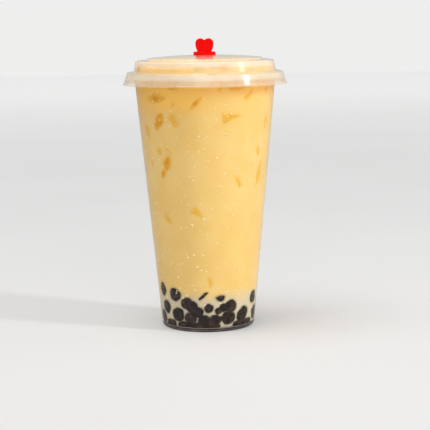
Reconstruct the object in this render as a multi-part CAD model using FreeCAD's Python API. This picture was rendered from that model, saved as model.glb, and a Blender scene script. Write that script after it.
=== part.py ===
"""A tall clear cup of golden iced smoothie over tapioca pearls, under a press-on lid.

The cup is injection moulded polypropylene, holds about 0.7 litres and has a 95 mm mouth.
Its frosted lid has a low dome that the drink rises into, and a heart-shaped stopper
plugs the hole in the lid's crown. Sizes are in millimetres. The axis of the cup is Z,
the cup stands on the plane Z = 0, and the heart faces -Y.
"""

import FreeCAD, Part

import math
import os

# Cup
CUP_HEIGHT = 161.3
CUP_BASE_RADIUS = 29.33
CUP_MOUTH_RADIUS = 44.75
CUP_WALL = 0.8
CUP_FLOOR = 1.2
CUP_FLOOR_TOP = 1.9
CUP_FLOOR_ROUND = 2.8
FOOT_WIDTH = 4.0
FOOT_ROUND = 2.4
FOOT_INNER_ROUND = 0.3
RIM_WIDTH = 2.75
RIM_HEIGHT = 2.1

# Lid
LID_WALL = 0.9
SKIRT_CLEARANCE = 0.86
SKIRT_FLARE = 2.14
SKIRT_DEPTH = 7.4
SKIRT_ROUND = 1.2
LIP_HEIGHT = 1.0
LIP_WIDTH = 1.25
LIP_ROUND = 0.3
RIDGE_HEIGHT = 0.8
RIDGE_HOLD = 0.5
RIDGE_CLEARANCE = 0.2
DOME_SETBACK = 0.23
DOME_LEAN = 1.35
DOME_HEIGHT = 7.1
DOME_ROOT_ROUND = 0.9
DOME_TOP_ROUND = 1.1
SHOULDER_WIDTH = 7.5
SHOULDER_RISE = 0.2
CROWN_STEP = 1.3
CROWN_STEP_WIDTH = 0.8
CROWN_STEP_ROUND = 0.5
CROWN_RISE = 1.65
CROWN_KNEE_RISE = 1.45
CROWN_ARC = 300.0
PLUG_SEAT_MARGIN = 0.9

# Heart plug
STEM_RADIUS = 5.5
STEM_CLEARANCE = 0.1
STEM_LENGTH = 2.6
STEM_BEAD = 0.35
STEM_BEAD_HEIGHT = 0.8
STEM_BEAD_GAP = 0.15
PLATE_OVERHANG = 1.55
PLATE_THICKNESS = 2.2
PLATE_ROUND = 0.8
HEART_WIDTH = 11.4
HEART_HEIGHT = 8.3
HEART_THICKNESS = 4.6
HEART_FOOT_WIDTH = 8.1
HEART_LOBE_RADIUS = 3.15
HEART_SIDE_BULGE = 0.42
HEART_NOTCH_ROUND = 0.35
HEART_EDGE_ROUND = 0.7
HEART_SINK = 0.5

# Drink, measured from the cup's rim, and tapioca pearls, measured from the cup's floor
DRINK_ABOVE_RIM = 4.2
PEARL_RADIUS = 4.75
PEARL_GAP = 0.3
PEARL_PRESS = 1.2
PEARL_LIFT = 2.9
PEARL_SWAY = 1.4
SWAY_STEP = 2.399
HEAP_DEPTH = 14.6

# Places that follow from the sizes above
RIM_RADIUS = CUP_MOUTH_RADIUS + RIM_WIDTH
HEAP_LEVEL = CUP_FLOOR_TOP + HEAP_DEPTH
LID_ROOF = CUP_HEIGHT + LID_WALL
SKIRT_TOP_RADIUS = RIM_RADIUS + SKIRT_CLEARANCE + LID_WALL
SKIRT_FOOT = LID_ROOF - SKIRT_DEPTH
SKIRT_FOOT_RADIUS = SKIRT_TOP_RADIUS + SKIRT_FLARE
DOME_ROOT_RADIUS = CUP_MOUTH_RADIUS + DOME_SETBACK
DOME_TOP_RADIUS = DOME_ROOT_RADIUS - DOME_LEAN
DOME_TOP = LID_ROOF + DOME_HEIGHT
CROWN_RADIUS = DOME_TOP_RADIUS - SHOULDER_WIDTH
CROWN_EDGE = DOME_TOP + SHOULDER_RISE + CROWN_STEP
PLUG_SEAT = CROWN_EDGE + CROWN_RISE
HOLE_RADIUS = STEM_RADIUS + STEM_CLEARANCE
PLATE_RADIUS = STEM_RADIUS + PLATE_OVERHANG
PLATE_TOP = PLUG_SEAT + PLATE_THICKNESS
DRINK_TOP = CUP_HEIGHT + DRINK_ABOVE_RIM


def wall_radius(height):
    """Radius of the cup's outer wall at a height above the table."""
    share = height / CUP_HEIGHT
    return CUP_BASE_RADIUS + (CUP_MOUTH_RADIUS - CUP_BASE_RADIUS) * share


def inner_radius(height):
    """Radius of the cup's inner wall at a height above the table."""
    slant = math.hypot(CUP_HEIGHT, CUP_MOUTH_RADIUS - CUP_BASE_RADIUS) / CUP_HEIGHT
    return wall_radius(height) - CUP_WALL * slant


def unit(start, end):
    """Direction from one (radius, height) point to another."""
    length = math.hypot(end[0] - start[0], end[1] - start[1])
    return ((end[0] - start[0]) / length, (end[1] - start[1]) / length)


def turn_between(before, after):
    """Signed angle from one direction to the next, left turns positive."""
    cross = before[0] * after[1] - before[1] * after[0]
    dot = before[0] * after[0] + before[1] * after[1]
    return math.atan2(cross, dot)


def corner_arc(before, corner, after):
    """Start, middle and end of the arc that rounds one corner, or the bare corner."""
    radius = corner[2]
    into = unit(before, corner)
    out = unit(corner, after)
    turn = abs(turn_between(into, out))
    if radius <= 0 or turn < 1e-6:
        return [corner[:2]]
    reach = radius * math.tan(turn / 2)
    start = (corner[0] - into[0] * reach, corner[1] - into[1] * reach)
    end = (corner[0] + out[0] * reach, corner[1] + out[1] * reach)
    inward = (out[0] - into[0], out[1] - into[1])
    size = math.hypot(inward[0], inward[1])
    depth = radius / math.cos(turn / 2) - radius
    middle = (corner[0] + inward[0] / size * depth, corner[1] + inward[1] / size * depth)
    return [start, middle, end]


def upright(point):
    """Sets an (across, up) point on the plane Y = 0."""
    return FreeCAD.Vector(point[0], 0, point[1])


def outline(corners):
    """Closed wire on the plane Y = 0 through corners of (across, up, rounding)."""
    count = len(corners)
    arcs = [
        corner_arc(corners[i - 1], corners[i], corners[(i + 1) % count])
        for i in range(count)
    ]
    edges = []
    for i in range(count):
        arc = [upright(point) for point in arcs[i]]
        if len(arc) == 3:
            edges.append(Part.Arc(arc[0], arc[1], arc[2]).toShape())
        next_start = upright(arcs[(i + 1) % count][0])
        if arc[-1].distanceToPoint(next_start) > 1e-6:
            edges.append(Part.LineSegment(arc[-1], next_start).toShape())
    return Part.Wire(edges)


def turned(corners):
    """Solid made by turning an outline of (radius, height, rounding) about the axis."""
    face = Part.Face(outline(corners))
    return face.revolve(FreeCAD.Vector(0, 0, 0), FreeCAD.Vector(0, 0, 1), 360)


def ring(inside, outside, bottom, top, rounding):
    """Solid ring of rectangular section with rounded corners."""
    return turned(
        [
            (inside, bottom, rounding),
            (outside, bottom, rounding),
            (outside, top, rounding),
            (inside, top, rounding),
        ]
    )


def inner_path(path, thickness):
    """The path moved by thickness to its left, with each rounding kept concentric."""
    directions = [unit(path[i], path[i + 1]) for i in range(len(path) - 1)]
    moved = []
    for i, corner in enumerate(path):
        before = directions[max(i - 1, 0)]
        after = directions[min(i, len(directions) - 1)]
        turn = turn_between(before, after)
        reach = thickness * math.tan(turn / 2)
        across = corner[0] - before[1] * thickness - before[0] * reach
        up = corner[1] + before[0] * thickness - before[1] * reach
        change = -thickness if turn > 0 else thickness
        rounding = max(corner[2] + change, 0) if corner[2] > 0 else 0
        moved.append((across, up, rounding))
    return moved


DOME_ROOT = 2


def lid_path():
    """Outer face of the lid from the foot of its skirt to the edge of its hole."""
    seat = PLATE_RADIUS + PLUG_SEAT_MARGIN
    shoulder = DOME_TOP + SHOULDER_RISE
    crown_middle = (CROWN_RADIUS + seat) / 2
    crown_knee = CROWN_EDGE + CROWN_KNEE_RISE
    return [
        (SKIRT_FOOT_RADIUS, SKIRT_FOOT, 0),
        (SKIRT_TOP_RADIUS, LID_ROOF, SKIRT_ROUND),
        (DOME_ROOT_RADIUS, LID_ROOF, DOME_ROOT_ROUND),
        (DOME_TOP_RADIUS, DOME_TOP, DOME_TOP_ROUND),
        (CROWN_RADIUS + CROWN_STEP_WIDTH, shoulder, CROWN_STEP_ROUND),
        (CROWN_RADIUS, CROWN_EDGE, CROWN_STEP_ROUND),
        (crown_middle, crown_knee, CROWN_ARC),
        (seat, PLUG_SEAT, 0),
        (HOLE_RADIUS, PLUG_SEAT, 0),
    ]


def dome_inner_radius(height):
    """Radius inside the lid's dome wall at a height above the table."""
    root, top = inner_path(lid_path(), LID_WALL)[DOME_ROOT : DOME_ROOT + 2]
    share = (height - root[1]) / (top[1] - root[1])
    return root[0] + (top[0] - root[0]) * share


def build_cup():
    """Cup with a recessed foot, a drafted wall and a curled rim."""
    under = CUP_FLOOR_TOP - CUP_FLOOR
    foot_inside = CUP_BASE_RADIUS - FOOT_WIDTH
    curl_top = CUP_HEIGHT - CUP_WALL
    curl_inside = (RIM_RADIUS - CUP_WALL - wall_radius(curl_top)) / 2
    return turned(
        [
            (0, under, 0),
            (foot_inside, under, FOOT_INNER_ROUND),
            (foot_inside, 0, FOOT_INNER_ROUND),
            (CUP_BASE_RADIUS, 0, FOOT_ROUND),
            (wall_radius(curl_top), curl_top, curl_inside),
            (RIM_RADIUS - CUP_WALL, curl_top, curl_inside),
            (RIM_RADIUS - CUP_WALL, CUP_HEIGHT - RIM_HEIGHT, 0),
            (RIM_RADIUS, CUP_HEIGHT - RIM_HEIGHT, 0),
            (RIM_RADIUS, CUP_HEIGHT, curl_inside + CUP_WALL),
            (inner_radius(CUP_HEIGHT), CUP_HEIGHT, curl_inside + CUP_WALL),
            (inner_radius(CUP_FLOOR_TOP), CUP_FLOOR_TOP, CUP_FLOOR_ROUND),
            (0, CUP_FLOOR_TOP, 0),
        ]
    )


def skirt_radius(height):
    """Radius of the skirt's outer face at a height above the table."""
    share = (LID_ROOF - height) / SKIRT_DEPTH
    return SKIRT_TOP_RADIUS + SKIRT_FLARE * share


def build_lid():
    """Lid of one even wall, with a lip at its foot and a ridge that snaps under the rim."""
    path = lid_path()
    shell = turned(path + inner_path(path, LID_WALL)[::-1])
    lip_bottom = SKIRT_FOOT - LIP_HEIGHT / 2
    lip_outside = SKIRT_FOOT_RADIUS + LIP_WIDTH - LID_WALL
    lip_inside = lip_outside - LIP_WIDTH
    lip = ring(lip_inside, lip_outside, lip_bottom, lip_bottom + LIP_HEIGHT, LIP_ROUND)
    ridge_top = CUP_HEIGHT - RIM_HEIGHT - RIDGE_CLEARANCE
    ridge_inside = RIM_RADIUS - RIDGE_HOLD
    ridge_outside = skirt_radius(ridge_top) - LID_WALL / 2
    ridge = ring(ridge_inside, ridge_outside, ridge_top - RIDGE_HEIGHT, ridge_top, 0)
    return shell.fuse([lip, ridge]).removeSplitter()


def heart_outline():
    """Edges of the heart's outline: notch, lobes, sides and the flat foot."""
    top = PLATE_TOP + HEART_HEIGHT
    foot = PLATE_TOP - HEART_SINK
    lobe = (HEART_WIDTH / 2 - HEART_LOBE_RADIUS, top - HEART_LOBE_RADIUS)
    reach = HEART_LOBE_RADIUS + HEART_NOTCH_ROUND
    notch = (0, lobe[1] + math.sqrt(reach**2 - lobe[0] ** 2))
    share = HEART_LOBE_RADIUS / reach
    touch = (lobe[0] * (1 - share), lobe[1] + (notch[1] - lobe[1]) * share)
    crest = (lobe[0], top)
    widest = (HEART_WIDTH / 2, lobe[1])
    ankle = (HEART_FOOT_WIDTH / 2, foot)
    side = unit(widest, ankle)
    bulge = (
        (widest[0] + ankle[0]) / 2 - side[1] * HEART_SIDE_BULGE,
        (widest[1] + ankle[1]) / 2 + side[0] * HEART_SIDE_BULGE,
    )
    edges = []
    for hand in (1, -1):
        for points in ((touch, crest, widest), (widest, bulge, ankle)):
            start, middle, end = [upright((hand * across, up)) for across, up in points]
            edges.append(Part.Arc(start, middle, end).toShape())
    left, right = upright((-touch[0], touch[1])), upright(touch)
    bottom = upright((0, notch[1] - HEART_NOTCH_ROUND))
    edges.append(Part.Arc(left, bottom, right).toShape())
    edges.append(Part.LineSegment(upright((-ankle[0], foot)), upright(ankle)).toShape())
    return edges


def build_heart():
    """Upright heart, cut off flat where it grows out of the plate, with rounded edges."""
    wire = Part.Wire(Part.__sortEdges__(heart_outline()))
    slab = Part.Face(wire).extrude(FreeCAD.Vector(0, HEART_THICKNESS, 0))
    slab.translate(FreeCAD.Vector(0, -HEART_THICKNESS / 2, 0))
    rims = [edge for edge in slab.Edges if edge.BoundBox.YLength < HEART_EDGE_ROUND]
    return slab.makeFillet(HEART_EDGE_ROUND, rims)


def build_heart_plug():
    """Stopper: a heart on a round plate, over a stem that fills the lid's hole."""
    plate = turned(
        [
            (0, PLUG_SEAT, 0),
            (PLATE_RADIUS, PLUG_SEAT, 0),
            (PLATE_RADIUS, PLATE_TOP, PLATE_ROUND),
            (0, PLATE_TOP, 0),
        ]
    )
    stem_foot = PLUG_SEAT - STEM_LENGTH
    stem_head = PLUG_SEAT + PLATE_THICKNESS / 2
    bead_top = PLUG_SEAT - LID_WALL - STEM_BEAD_GAP
    bead_radius = HOLE_RADIUS + STEM_BEAD
    stem = turned(
        [
            (0, stem_foot, 0),
            (STEM_RADIUS - STEM_BEAD, stem_foot, 0),
            (bead_radius, bead_top - STEM_BEAD_HEIGHT, 0),
            (bead_radius, bead_top, 0),
            (STEM_RADIUS, bead_top, 0),
            (STEM_RADIUS, stem_head, 0),
            (0, stem_head, 0),
        ]
    )
    return plate.fuse([stem, build_heart()]).removeSplitter()


def build_contents(top):
    """Everything inside the cup and lid from the floor up to a height, as one solid."""
    corners = [
        (0, CUP_FLOOR_TOP, 0),
        (inner_radius(CUP_FLOOR_TOP), CUP_FLOOR_TOP, CUP_FLOOR_ROUND),
    ]
    if top > CUP_HEIGHT:
        corners.append((inner_radius(CUP_HEIGHT), CUP_HEIGHT, 0))
        corners.append((dome_inner_radius(top), top, 0))
    else:
        corners.append((inner_radius(top), top, 0))
    corners.append((0, top, 0))
    return turned(corners)


def pearl_centres():
    """Centres of the pearls along the top of the heap, ring by ring from the wall in."""
    pitch = 2 * PEARL_RADIUS + PEARL_GAP
    centres = []
    ring_radius = inner_radius(HEAP_LEVEL) - PEARL_RADIUS + PEARL_PRESS
    while ring_radius > pitch / 2:
        step = 2 * math.asin(pitch / 2 / ring_radius)
        count = int(2 * math.pi / step)
        for i in range(count):
            angle = 2 * math.pi * i / count + SWAY_STEP * ring_radius
            height = HEAP_LEVEL + PEARL_LIFT + PEARL_SWAY * math.sin(SWAY_STEP * len(centres))
            lean = wall_radius(height) - wall_radius(HEAP_LEVEL)
            reach = ring_radius + lean
            centres.append(
                FreeCAD.Vector(reach * math.cos(angle), reach * math.sin(angle), height)
            )
        ring_radius -= pitch
    return centres


def build_heap():
    """Heap of pearls: one solid, level below, with the topmost pearls standing out of it."""
    bed = build_contents(HEAP_LEVEL)
    pearls = [Part.makeSphere(PEARL_RADIUS, centre) for centre in pearl_centres()]
    space = build_contents(DRINK_TOP)
    return bed.fuse(pearls).removeSplitter().common(space)


def build_all():
    """Every piece of the finished drink by the name of its node."""
    heap = build_heap()
    return {
        "cup": build_cup(),
        "lid": build_lid(),
        "heart_plug": build_heart_plug(),
        "tapioca_pearls": heap,
        "drink": build_contents(DRINK_TOP).cut(heap),
    }


def main():
    """Writes one STEP file for each piece."""
    os.makedirs("parts", exist_ok=True)
    for name, shape in build_all().items():
        solid = shape.Solids[0]
        print(name, "solids", len(shape.Solids), "valid", solid.isValid(), "mm3", round(solid.Volume))
        solid.exportStep(os.path.join("parts", name + ".step"))


main()
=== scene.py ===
"""Looks for a tall clear cup of golden iced smoothie over tapioca pearls, with a frosted lid.

Lengths are in metres unless a name says otherwise. The axis of the cup is Z, the cup stands
on the plane Z = 0, and the heart on the lid's stopper faces -Y. An azimuth is in degrees,
0 at the front, and grows to the right as one faces the cup.
"""

import logging
import math
from dataclasses import dataclass, field
from enum import Enum
from functools import cached_property

import bpy
import numpy as np
from mathutils import Matrix, Vector
from mathutils.bvhtree import BVHTree


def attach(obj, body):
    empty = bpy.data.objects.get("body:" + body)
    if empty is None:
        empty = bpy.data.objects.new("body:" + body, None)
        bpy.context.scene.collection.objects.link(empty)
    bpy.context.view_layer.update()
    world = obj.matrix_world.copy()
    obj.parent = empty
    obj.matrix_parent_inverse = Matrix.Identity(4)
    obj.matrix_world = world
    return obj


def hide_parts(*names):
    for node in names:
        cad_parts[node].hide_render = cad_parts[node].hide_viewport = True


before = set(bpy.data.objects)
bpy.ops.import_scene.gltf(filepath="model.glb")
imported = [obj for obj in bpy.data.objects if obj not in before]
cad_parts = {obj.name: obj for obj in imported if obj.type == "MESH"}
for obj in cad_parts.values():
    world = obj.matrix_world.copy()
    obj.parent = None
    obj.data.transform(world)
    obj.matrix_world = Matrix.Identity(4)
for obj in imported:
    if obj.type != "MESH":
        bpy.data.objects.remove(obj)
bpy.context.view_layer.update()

LOG = logging.getLogger("smoothie")
MM = 0.001
BODY = "root"
Node = bpy.types.Node
Socket = bpy.types.NodeSocket
Mesh = bpy.types.Mesh
Colour = tuple[float, float, float, float]
WHITE: Colour = (1.0, 1.0, 1.0, 1.0)


def srgb(red: int, green: int, blue: int) -> Colour:
    """Linear colour with alpha for a colour given in sRGB steps of 0 to 255.

    Args:
        red: Red step.
        green: Green step.
        blue: Blue step.

    Returns:
        The linear red, green and blue, and an alpha of 1.
    """
    linear = []
    for step in (red, green, blue):
        share = step / 255
        linear.append(share / 12.92 if share <= 0.04045 else ((share + 0.055) / 1.055) ** 2.4)
    return (linear[0], linear[1], linear[2], 1.0)


class Tree:
    """Short hand for adding and joining the nodes of one node tree."""

    def __init__(self, tree: bpy.types.NodeTree) -> None:
        """Takes the node tree to work on.

        Args:
            tree: A shader or geometry node tree.
        """
        self.tree = tree

    @cached_property
    def place(self) -> Socket:
        """Object coordinates of the point that a finish is worked out for."""
        return self.add("ShaderNodeTexCoord").outputs["Object"]

    def add(self, kind: str, inputs: dict | None = None, **settings: object) -> Node:
        """Adds a node, sets its settings, and fills or joins its inputs.

        Args:
            kind: The node's type name.
            inputs: Values, output sockets or nodes, for their first output, by input name or number.
            settings: The node's own properties.

        Returns:
            The new node.
        """
        node = self.tree.nodes.new(kind)
        for name, value in settings.items():
            setattr(node, name, value)
        for key, value in (inputs or {}).items():
            socket = node.inputs[key]
            if isinstance(value, Node):
                value = value.outputs[0]
            if isinstance(value, Socket):
                self.tree.links.new(value, socket)
            else:
                socket.default_value = value
        return node

    def math(self, operation: str, *values: object) -> Socket:
        """Output of a Math node.

        Args:
            operation: The node's operation.
            values: Numbers or sockets for its inputs in order.

        Returns:
            The node's value socket.
        """
        return self.add("ShaderNodeMath", dict(enumerate(values)), operation=operation).outputs[0]

    def blend(self, share: object, first: object, second: object) -> Socket:
        """Colour mixed from two colours.

        Args:
            share: How much of the second colour, as a number or a socket.
            first: Colour or socket at share 0.
            second: Colour or socket at share 1.

        Returns:
            The mixed colour's socket.
        """
        return self.add("ShaderNodeMix", {0: share, 6: first, 7: second}, data_type="RGBA").outputs[2]

    def mix(self, share: object, first: Node, second: Node) -> Node:
        """Mix Shader node of two shader nodes.

        Args:
            share: How much of the second shader, as a number or a socket.
            first: Shader node at share 0.
            second: Shader node at share 1.

        Returns:
            The mixing node.
        """
        return self.add("ShaderNodeMixShader", {0: share, 1: first, 2: second})

    def axes(self) -> bpy.types.bpy_prop_collection:
        """Sockets with the X, Y and Z of the object coordinates."""
        return self.add("ShaderNodeSeparateXYZ", {0: self.place}).outputs

    def mark(self, name: str) -> Socket:
        """Value of one of the mesh's own attributes."""
        return self.add("ShaderNodeAttribute", attribute_name=name).outputs["Fac"]

    def ramp(self, value: Socket, low: float, high: float, to_low: float = 0.0,
             to_high: float = 1.0) -> Socket:
        """Smooth step of a value from one range to another.

        Args:
            value: The socket to read.
            low: Value at which the step starts.
            high: Value at which it ends.
            to_low: Result at and below low.
            to_high: Result at and above high.

        Returns:
            The result's socket.
        """
        return self.add("ShaderNodeMapRange", {0: value, 1: low, 2: high, 3: to_low, 4: to_high},
                        interpolation_type="SMOOTHSTEP").outputs[0]

    def noise(self, grain: float, detail: float = 2.0,
              stretch: tuple[float, float, float] = (1.0, 1.0, 1.0)) -> Socket:
        """Noise value over object coordinates.

        Args:
            grain: Size of the noise's features.
            detail: Octaves of finer noise.
            stretch: Scale of the coordinates along each axis.

        Returns:
            The noise's value socket, about 0.5 on average.
        """
        scaled = self.add("ShaderNodeMapping", {"Vector": self.place, "Scale": stretch})
        return self.add("ShaderNodeTexNoise", {
            "Vector": scaled, "Scale": 1 / grain, "Detail": detail}).outputs[0]

    def bump(self, height: Socket, depth: float) -> Socket:
        """Normal bent by a height.

        Args:
            height: Height socket, 0 to 1.
            depth: Real depth of a height of 1.

        Returns:
            The normal's socket.
        """
        return self.add("ShaderNodeBump", {"Height": height, "Distance": depth}).outputs[0]


class Finish:
    """A material made of nodes. Each finish gives its name and its surface shader."""

    name: str

    def surface(self, tree: Tree) -> Node:
        """Builds the surface shader.

        Args:
            tree: Tree to build in.

        Returns:
            The shader's node.
        """
        raise NotImplementedError

    def material(self) -> bpy.types.Material:
        """Makes the Blender material for this finish."""
        material = bpy.data.materials.new(self.name)
        material.use_nodes = True
        material.node_tree.nodes.clear()
        tree = Tree(material.node_tree)
        tree.add("ShaderNodeOutputMaterial", {"Surface": self.surface(tree)})
        return material


def let_light_through(tree: Tree, shader: Node, tint: object) -> Node:
    """Lets lamps shine through a clear shader, so what lies behind it is lit.

    Args:
        tree: Tree to build in.
        shader: The clear shader's node.
        tint: Colour of the light that gets through, as a colour or a socket.

    Returns:
        The mixed shader's node.
    """
    path = tree.add("ShaderNodeLightPath")
    through = tree.add("ShaderNodeBsdfTransparent", {"Color": tint})
    return tree.mix(path.outputs["Is Shadow Ray"], shader, through)


def seen_directly(tree: Tree) -> Socket:
    """1 for what the camera sees by itself or through clear things, else 0."""
    path = tree.add("ShaderNodeLightPath").outputs
    return tree.math("MAXIMUM", path["Is Camera Ray"], path["Is Transmission Ray"])


@dataclass(frozen=True)
class ClearPlastic(Finish):
    """Clear moulded polypropylene with a light haze on it."""

    name: str = "clear_moulded_plastic"
    colour: Colour = (0.985, 0.98, 0.965, 1.0)
    smoothest: float = 0.07
    roughest: float = 0.16
    haze_grain: float = 9 * MM
    ripple_grain: float = 14 * MM
    ripple_depth: float = 0.02 * MM
    light_tint: Colour = (0.93, 0.92, 0.9, 1.0)
    # Painted shade and painted reflection: the foot's dark tint stands in for the dark pearls seen in it and
    # the shade under the cup.
    painted_foot_shade: Colour = (0.34, 0.27, 0.235, 1.0)
    painted_foot_fade: tuple[float, float] = (3.4 * MM, 1.9 * MM)

    def surface(self, tree: Tree) -> Node:
        """Builds clear plastic, uneven in haze and surface, with painted shade and painted reflection on its
        foot: a dark tint that stands in for the pearls seen in it and the shade under the cup.

        Args:
            tree: Tree to build in.

        Returns:
            The shader's node.
        """
        haze = tree.ramp(tree.noise(self.haze_grain, 3.0), 0.3, 0.7, self.smoothest, self.roughest)
        ripple = tree.noise(self.ripple_grain, 1.0, (1.0, 1.0, 0.4))
        # Painted shade and painted reflection: darker towards the foot.
        foot = tree.ramp(tree.axes()[2], *self.painted_foot_fade)
        colour = tree.blend(foot, self.colour, self.painted_foot_shade)
        plastic = tree.add("ShaderNodeBsdfPrincipled", {
            "Base Color": colour, "Roughness": haze, "IOR": 1.38, "Transmission Weight": 1.0,
            "Specular IOR Level": 0.05, "Normal": tree.bump(ripple, self.ripple_depth)})
        return let_light_through(tree, plastic, self.light_tint)


@dataclass(frozen=True)
class FrostedPlastic(Finish):
    """Frosted translucent polypropylene of the lid.

    The milkiness is given for the lip, skirt, dome wall, fogged shoulder and crown in turn, and the
    changes are the heights between which each turns into the next.
    """

    name: str = "frosted_plastic"
    clear: Colour = (0.99, 0.965, 0.91, 1.0)
    milk: Colour = (0.93, 0.885, 0.79, 1.0)
    glow_share: float = 0.2
    milkiness: tuple[float, ...] = (0.3, 0.6, 0.3, 0.64, 0.3)
    changes: tuple[tuple[float, float], ...] = (
        (157.4 * MM, 159.0 * MM), (160.8 * MM, 162.0 * MM),
        (165.0 * MM, 167.0 * MM), (168.6 * MM, 169.2 * MM))
    skirt_shadow: Colour = (0.86, 0.62, 0.14, 1.0)
    dome_shadow: Colour = (0.9, 0.82, 0.58, 1.0)
    shadow_change: tuple[float, float] = (159 * MM, 163 * MM)
    frost_grain: float = 0.7 * MM
    frost_depth: float = 0.004 * MM
    cloud_grain: float = 9 * MM

    def surface(self, tree: Tree) -> Node:
        """Builds frosted plastic: a thin milky veil, fogged at the top, under a soft shine.

        Args:
            tree: Tree to build in.

        Returns:
            The shader's node.
        """
        frost = tree.noise(self.frost_grain, 2.0)
        share = tree.ramp(tree.noise(self.cloud_grain, 3.0), 0.3, 0.7, -0.05, 0.05)
        height = tree.axes()[2]
        normal = tree.bump(frost, self.frost_depth)
        clear = tree.add("ShaderNodeBsdfTransparent", {"Color": self.clear})
        milk = tree.add("ShaderNodeBsdfDiffuse", {"Color": self.milk, "Normal": normal})
        glow = tree.add("ShaderNodeBsdfTranslucent", {"Color": self.milk, "Normal": normal})
        share = tree.math("ADD", share, self.milkiness[0])
        for change, below, above in zip(self.changes, self.milkiness, self.milkiness[1:]):
            share = tree.math("ADD", share, tree.ramp(height, *change, 0.0, above - below))
        sheet = tree.mix(share, clear, tree.mix(self.glow_share, milk, glow))
        shine = tree.add("ShaderNodeBsdfGlossy", {
            "Color": WHITE, "Roughness": tree.ramp(frost, 0.3, 0.7, 0.12, 0.18), "Normal": normal})
        grazing = tree.add("ShaderNodeFresnel", {"IOR": 1.45, "Normal": normal}).outputs[0]
        outside = tree.math("SUBTRACT", 1.0, tree.add("ShaderNodeNewGeometry").outputs["Backfacing"])
        skin = tree.mix(tree.math("MULTIPLY", grazing, outside), sheet, shine)
        tint = tree.blend(tree.ramp(height, *self.shadow_change), self.skirt_shadow, self.dome_shadow)
        return let_light_through(tree, skin, tint)


@dataclass(frozen=True)
class RedPlastic(Finish):
    """Glossy red plastic of the stopper."""

    name: str = "glossy_red_plastic"
    colour: Colour = (0.8, 0.001, 0.001, 1.0)
    paler: Colour = (0.86, 0.003, 0.001, 1.0)
    flow_grain: float = 2.5 * MM
    skin_grain: float = 0.6 * MM
    skin_depth: float = 0.01 * MM

    def surface(self, tree: Tree) -> Node:
        """Builds red plastic with faint flow marks.

        Args:
            tree: Tree to build in.

        Returns:
            The shader's node.
        """
        flow = tree.noise(self.flow_grain, 3.0)
        return tree.add("ShaderNodeBsdfPrincipled", {
            "Base Color": tree.blend(tree.ramp(flow, 0.35, 0.7), self.colour, self.paler),
            "Roughness": tree.ramp(flow, 0.3, 0.7, 0.18, 0.26), "Specular IOR Level": 0.06,
            "Subsurface Weight": 0.08, "Subsurface Radius": (1.0, 0.1, 0.1), "Subsurface Scale": 1.2 * MM,
            "Normal": tree.bump(tree.noise(self.skin_grain, 2.0), self.skin_depth)})


@dataclass(frozen=True)
class Smoothie(Finish):
    """Milky golden drink, amber where ice lies close behind the wall."""

    name: str = "golden_smoothie"
    golden: Colour = srgb(239, 205, 125)
    creamy: Colour = srgb(242, 213, 142)
    pale: Colour = srgb(222, 209, 180)
    amber: Colour = srgb(233, 183, 68)
    # Painted light and shade: below the lid the drink is a brighter, deeper gold, strongest on the left.
    # This stands in for light coming through the lid and for the gold of the lid's shadow.
    painted_lid_light: Colour = srgb(254, 212, 108)
    shade: Colour = srgb(40, 30, 27)
    cloud_grain: float = 18 * MM
    pulp_grain: float = 0.9 * MM
    waviness: float = 16 * MM
    painted_light_heights: tuple[float, float] = (134 * MM, 146 * MM)
    painted_light_across: tuple[float, float] = (-14 * MM, 10 * MM)
    pale_fade: tuple[float, float] = (28 * MM, 18 * MM)

    def surface(self, tree: Tree) -> Node:
        """Builds the drink, with its ice glow and pearl shade read from the mesh, and painted light and
        shade below the lid.

        Args:
            tree: Tree to build in.

        Returns:
            The shader's node.
        """
        clouds = tree.noise(self.cloud_grain, 3.0)
        fine = tree.noise(self.pulp_grain, 2.0)
        colour = tree.blend(tree.ramp(clouds, 0.2, 0.8), self.golden, self.creamy)
        across, _, height = tree.axes()
        wave = tree.math("MULTIPLY", tree.math("SUBTRACT", clouds, 0.5), self.waviness)
        colour = tree.blend(tree.ramp(tree.math("ADD", height, wave), *self.pale_fade), colour, self.pale)
        # Painted light and shade below the lid, strongest on the left.
        lit = tree.ramp(across, *self.painted_light_across, 0.9, 0.1)
        painted_light_share = tree.math("MULTIPLY", tree.ramp(height, *self.painted_light_heights), lit)
        colour = tree.blend(painted_light_share, colour, self.painted_lid_light)
        glow = tree.math("MULTIPLY", tree.mark("ice_glow"), tree.ramp(fine, 0.25, 0.6, 0.75, 1.0))
        colour = tree.blend(glow, colour, self.amber)
        colour = tree.blend(tree.mark("pearl_shade"), colour, self.shade)
        return tree.add("ShaderNodeBsdfPrincipled", {
            "Base Color": colour, "Roughness": tree.ramp(fine, 0.3, 0.7, 0.5, 0.65),
            "Specular IOR Level": 0.03, "Subsurface Weight": 0.2, "Subsurface Radius": (1.0, 0.88, 0.6),
            "Subsurface Scale": 1.5 * MM, "Normal": tree.bump(fine, 0.03 * MM)})


@dataclass(frozen=True)
class Tapioca(Finish):
    """Dark chewy pearl."""

    name: str = "dark_tapioca"
    dark: Colour = srgb(13, 5, 3)
    brown: Colour = srgb(64, 39, 27)
    film: Colour = srgb(112, 98, 90)
    mottle_grain: float = 3.2 * MM
    speck_grain: float = 0.7 * MM

    def surface(self, tree: Tree) -> Node:
        """Builds dark glossy tapioca, mottled and with a thin film of drink in places.

        Args:
            tree: Tree to build in.

        Returns:
            The shader's node.
        """
        mottle = tree.noise(self.mottle_grain, 3.0)
        speck = tree.noise(self.speck_grain, 3.0)
        tone = tree.math("MULTIPLY", tree.mark("tone"), tree.ramp(mottle, 0.3, 0.65))
        colour = tree.blend(tone, self.dark, self.brown)
        film = tree.math("MULTIPLY", tree.ramp(mottle, 0.46, 0.7), tree.ramp(speck, 0.5, 0.68))
        colour = tree.blend(film, colour, self.film)
        return tree.add("ShaderNodeBsdfPrincipled", {
            "Base Color": colour, "Roughness": tree.ramp(speck, 0.3, 0.7, 0.14, 0.26),
            "Specular IOR Level": 0.14, "Normal": tree.bump(speck, 0.1 * MM)})


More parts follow.
